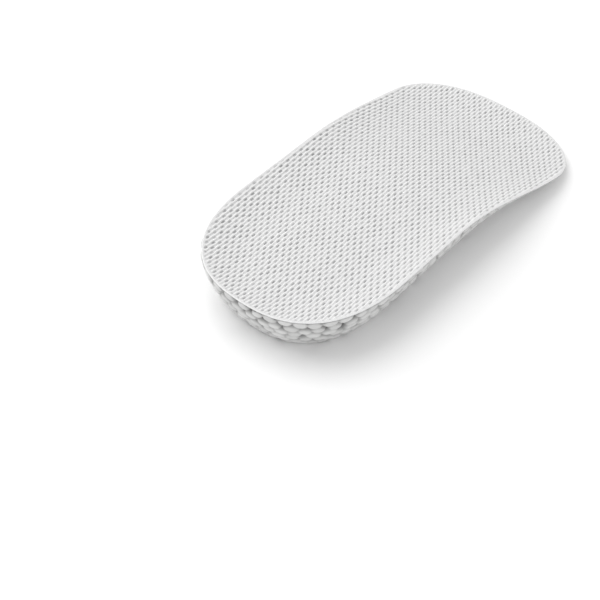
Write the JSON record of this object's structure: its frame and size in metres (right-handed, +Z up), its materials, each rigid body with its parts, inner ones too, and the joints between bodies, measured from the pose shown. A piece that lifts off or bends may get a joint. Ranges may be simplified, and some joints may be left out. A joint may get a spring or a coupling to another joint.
{
  "type": "heel lift",
  "caption": "Half-length heel lift for a shoe: a dished, undercut wedge of bead foam that feathers out at the front, with a knit mesh cover.",
  "frame": {"origin": "middle of the footprint, on the surface that the lift rests on", "axes": "+Y from the heel to the front, +Z up, X across; symmetric about X = 0"},
  "size_m": [0.0616, 0.1305, 0.015],
  "materials": {
    "bead_foam": "satin bead foam",
    "knit_mesh": "matte knit"
  },
  "bodies": {
    "root": {"foam_wedge": "bead_foam", "knit_cover": "knit_mesh"}
  },
  "joints": []
}
